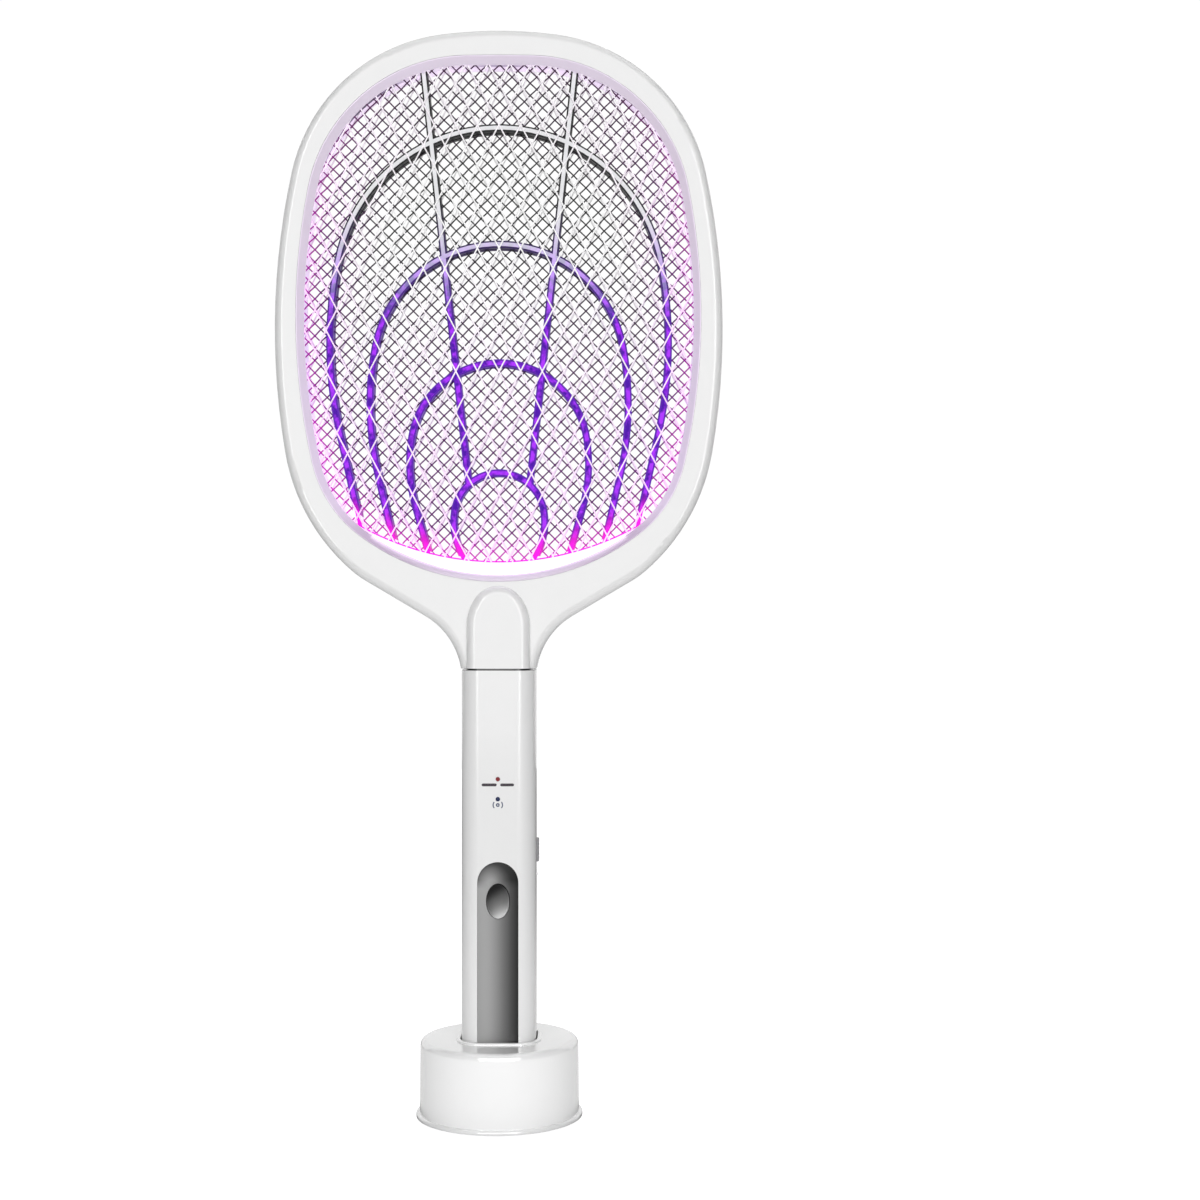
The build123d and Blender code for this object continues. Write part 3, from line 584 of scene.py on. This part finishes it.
def guard_mesh(node, name):
    """Diamond lattice of rounded strands, clipped to the CAD mesh's outline."""
    low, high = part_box(node)
    tree = node_tree(node)
    middle = (low + high) / 2
    strands = Strands(STRAND_HALF_WIDTH, (high.y - low.y) / 2, STRAND_SIDES)
    count = math.ceil((high.x - low.x + high.z - low.z) / GUARD_PITCH.x)
    for lean in (-1, 1):
        direction = Vector((lean * GUARD_PITCH.x, 0, GUARD_PITCH.z)).normalized()
        for number in range(-count, count + 1):
            centre = middle + Vector(((number + 0.5) * GUARD_PITCH.x, 0, 0))
            centre -= direction * (centre - middle).dot(direction)
            span = crossing_span(tree, centre, direction, 0.0)
            if span and span[1] - span[0] > SHORTEST_STRAND:
                strands.add([centre + direction * end for end in span], direction)
    rim_into(strands, tree, middle)
    piece = new_piece(name, strands.vertices, strands.faces, "mesh_white", "racket")
    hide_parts(node)


def rim_into(strands, tree, middle):
    """Closes the lattice with a flat rim along the node's outline."""
    reach = (cad_high - cad_low).length
    start = len(strands.vertices)
    depth = Vector((0, strands.half_depth, 0))
    for number in range(RIM_POINTS):
        angle = 2 * math.pi * number / RIM_POINTS
        outward = Vector((math.sin(angle), 0, math.cos(angle)))
        outer = tree.ray_cast(middle + outward * reach, -outward)[0]
        inner = outer - outward * RIM_WIDTH
        strands.vertices += [outer - depth, outer + depth, inner + depth, inner - depth]
    for number in range(RIM_POINTS):
        here = start + 4 * number
        there = start + 4 * ((number + 1) % RIM_POINTS)
        for corner in range(4):
            after = (corner + 1) % 4
            strands.faces.append((here + corner, here + after, there + after, there + corner))


def high_voltage_cloth():
    """Plain weave of crimped wires, in two pieces, clipped to the grid carrier's outline."""
    low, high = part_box("high_voltage_grid")
    middle = (low + high) / 2
    front_low, front_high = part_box("front_grid_carrier")
    tree = node_tree("front_grid_carrier")
    ray_y = (front_low.y + front_high.y) / 2
    radius = (high.y - low.y) / 4
    count = math.ceil((high - low).length / 2 / CLOTH_PITCH)
    for lean, name in ((-1, "grid_wires_falling"), (1, "grid_wires_rising")):
        wires = Strands(radius, radius, WIRE_SIDES)
        direction = Vector((lean, 0, 1)).normalized()
        across = Vector((1, 0, -lean)).normalized()
        for number in range(-count, count + 1):
            centre = middle + across * (number * CLOTH_PITCH)
            ray_middle = Vector((centre.x, ray_y, centre.z))
            span = crossing_span(tree, ray_middle, direction, EDGE_GAP)
            if span and span[1] - span[0] > CLOTH_PITCH:
                wires.add(crimped(centre, direction, span, number, lean * radius), direction)
        piece = new_piece(name, wires.vertices, wires.faces, "grid_steel", "racket")
        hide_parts("high_voltage_grid")


def crimped(centre, direction, span, number, height):
    """Points of a wire that passes over one crossing wire and under the next."""
    step = CLOTH_PITCH / WIRE_STEPS
    first = math.ceil(span[0] / step)
    last = math.floor(span[1] / step)
    points = []
    for place in range(first, last + 1):
        along = place * step
        swing = height * math.cos(math.pi * along / CLOTH_PITCH + math.pi * number)
        points.append(centre + direction * along + Vector((0, swing, 0)))
    return points


def printed_mark(name, outlines, look):
    """Thin ink on the flat front of the handle; each outline is a list of (x, z) points."""
    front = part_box("front_handle_shell")[0].y
    proud = INK_PROUD * MM
    vertices, faces = [], []
    for outline in outlines:
        start = len(vertices)
        count = len(outline)
        vertices += [(x, front - proud, z) for x, z in outline]
        vertices += [(x, front + proud, z) for x, z in outline]
        faces.append(tuple(range(start, start + count)))
        faces.append(tuple(reversed(range(start + count, start + 2 * count))))
        for corner in range(count):
            after = (corner + 1) % count
            behind = start + count
            faces.append((start + after, start + corner, behind + corner, behind + after))
    new_piece(name, vertices, faces, look, "racket", smooth=False)


def round_bar(left, right, z, height):
    """Outline of a level bar with round ends."""
    radius = height / 2
    steps = 8
    points = []
    for centre, start in ((right - radius, -90), (left + radius, 90)):
        for step in range(steps + 1):
            angle = math.radians(start + 180 * step / steps)
            points.append((centre + radius * math.cos(angle), z + radius * math.sin(angle)))
    return points


def arc_band(z, inner, outer, start, sweep):
    """Outline of part of a ring round x = 0; angles in degrees from +X towards +Z."""
    steps = 12
    angles = [math.radians(start + sweep * step / steps) for step in range(steps + 1)]
    outside = [(outer * math.cos(a), z + outer * math.sin(a)) for a in angles]
    inside = [(inner * math.cos(a), z + inner * math.sin(a)) for a in reversed(angles)]
    return outside + inside


def handle_marks():
    """Two dashes under the red indicator, and a small open ring between two arcs under the blue one."""
    red = sum(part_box("red_indicator"), Vector()) / 2
    blue = sum(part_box("blue_indicator"), Vector()) / 2
    dash_z = red.z - DASH_DROP * MM
    dashes = [round_bar(left * MM, right * MM, dash_z, DASH_HEIGHT * MM) for left, right in DASHES]
    printed_mark("handle_dashes", dashes, "ink")
    ring_z = blue.z - RING_DROP * MM
    bands = [(RING_RADII, 0, 350)] + [(ARC_RADII, start, ARC_SWEEP) for start in ARC_STARTS]
    signal = []
    for (inner, outer), start, sweep in bands:
        signal.append(arc_band(ring_z, inner * MM, outer * MM, start, sweep))
    printed_mark("handle_signal_mark", signal, "blue_ink")


# ---------------------------------------------------------------- stage


def build_stage():
    """Floor of white paper, with a faint pool of light round the dock."""
    mesh = bpy.data.meshes.new("floor")
    half = FLOOR_HALF_SIZE
    corners = [(-half, -half, 0), (half, -half, 0), (half, half, 0), (-half, half, 0)]
    mesh.from_pydata(corners, [], [(0, 1, 2, 3)])
    look = Look("floor_paper", (0.3, 0.3, 0.3), 0.9, specular_ior_level=0.0)
    look.mottle((0.29, 0.29, 0.29), (0.31, 0.31, 0.31), 3.0)
    distance = look.node("VectorMath", operation="LENGTH")
    look.feed(look.position(), distance.inputs[0])
    near = look.span(distance.outputs["Value"], *POOL_START, smooth=True)
    far = look.span(distance.outputs["Value"], *POOL_FADE, 0.55, 0.03, smooth=True)
    pool = look.math("MULTIPLY", near, far)
    seen = look.node("LightPath").outputs["Is Camera Ray"]
    look.glow((1.0, 1.0, 1.0), look.math("MAXIMUM", pool, look.math("MULTIPLY", seen, PAPER_WHITE)))
    mesh.materials.append(look.material)
    floor = bpy.data.objects.new("floor", mesh)
    bpy.context.scene.collection.objects.link(floor)


def softbox(name, place, size, power):
    """A rectangular light that faces the middle of the object."""
    light = bpy.data.lights.new(name, "AREA")
    light.shape = "RECTANGLE"
    light.size, light.size_y = size
    light.energy = power
    lamp = bpy.data.objects.new(name, light)
    lamp.location = place
    aim = (cad_low + cad_high) / 2 - Vector(place)
    lamp.rotation_euler = aim.to_track_quat("-Z", "Y").to_euler()
    lamp.visible_camera = False
    bpy.context.scene.collection.objects.link(lamp)


def build_lights():
    softbox("key_light", (0.1, -2.0, 0.9), (2.4, 2.0), 31.5)
    softbox("left_strip", (-0.60, -1.45, 0.35), (0.16, 1.4), 4.0)
    softbox("right_strip", (0.60, -1.45, 0.35), (0.16, 1.4), 4.0)
    softbox("left_rim_light", (-1.5, 0.35, 0.35), (0.5, 1.4), 0.6)
    softbox("right_rim_light", (1.5, 0.35, 0.35), (0.5, 1.4), 0.6)
    softbox("overhead_light", (0.0, 0.2, 1.9), (2.0, 1.6), 8.0)
    softbox("backdrop_light", (0.0, 1.8, 0.45), (5.2, 3.0), 42.0)


def build_world():
    """Even surroundings that light the object softly and show as white paper behind it."""
    world = bpy.data.worlds.new("studio")
    world.use_nodes = True
    bpy.context.scene.world = world
    tree = world.node_tree
    shown = tree.nodes["Background"]
    shown.inputs["Color"].default_value = (1, 1, 1, 1)
    shown.inputs["Strength"].default_value = PAPER_WHITE
    lighting = tree.nodes.new("ShaderNodeBackground")
    lighting.inputs["Color"].default_value = (1, 1, 1, 1)
    lighting.inputs["Strength"].default_value = WORLD_LIGHT
    path = tree.nodes.new("ShaderNodeLightPath")
    mix = tree.nodes.new("ShaderNodeMixShader")
    tree.links.new(path.outputs["Is Camera Ray"], mix.inputs[0])
    tree.links.new(lighting.outputs[0], mix.inputs[1])
    tree.links.new(shown.outputs[0], mix.inputs[2])
    tree.links.new(mix.outputs[0], tree.nodes["World Output"].inputs["Surface"])


def build_camera():
    data = bpy.data.cameras.new("camera")
    data.sensor_width = SENSOR
    data.lens = SENSOR * CAMERA_DISTANCE / FRAME_WIDTH
    data.clip_start = 0.05
    data.clip_end = 50.0
    camera = bpy.data.objects.new("camera", data)
    camera.location = (CAMERA_RIGHT, -CAMERA_DISTANCE, CAMERA_HEIGHT)
    camera.rotation_euler = (math.radians(90), 0, 0)
    bpy.context.scene.collection.objects.link(camera)
    bpy.context.scene.camera = camera
    bpy.context.scene.view_settings.view_transform = "Standard"


# ---------------------------------------------------------------- build

make_looks()
paint_cad_nodes()
guard_mesh("front_guard_mesh", "front_guard_lattice")
guard_mesh("rear_guard_mesh", "rear_guard_lattice")
high_voltage_cloth()
handle_marks()
build_stage()
build_lights()
build_world()
build_camera()
